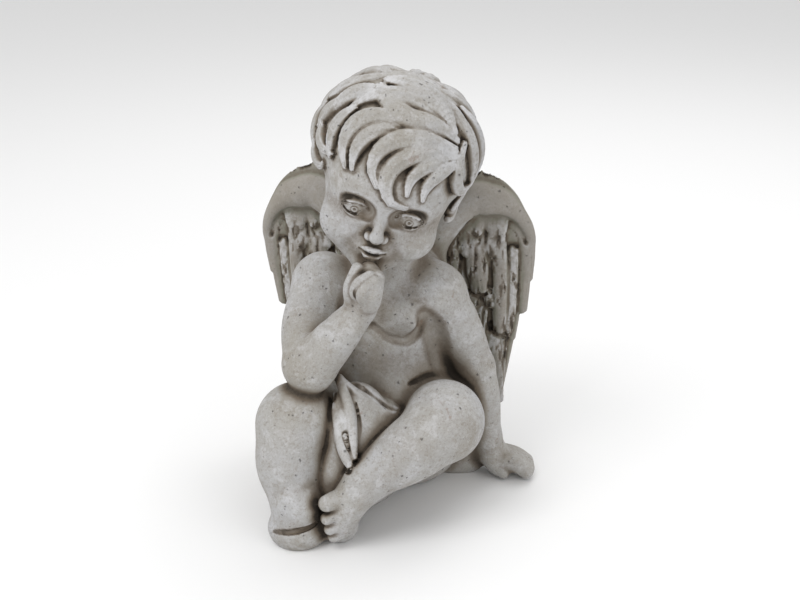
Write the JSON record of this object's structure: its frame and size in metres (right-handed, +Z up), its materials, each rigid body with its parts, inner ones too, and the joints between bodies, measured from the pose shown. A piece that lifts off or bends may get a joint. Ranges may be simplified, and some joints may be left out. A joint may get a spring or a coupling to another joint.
{
  "type": "stone putto statue",
  "caption": "Seated winged child figure in weathered cast stone, chin resting on one fist, standing freely on its flat underside as a garden or shelf ornament.",
  "frame": {"origin": "on the ground plane, inside the flat underside of the seat, on the figure's middle line", "axes": "+X to the figure's left, -Y to the figure's front, +Z up"},
  "size_m": [0.2376, 0.2087, 0.3481],
  "materials": {
    "stone": "matt, weathered, finely pitted"
  },
  "bodies": {
    "root": {"putto_statue": "stone"}
  },
  "joints": []
}
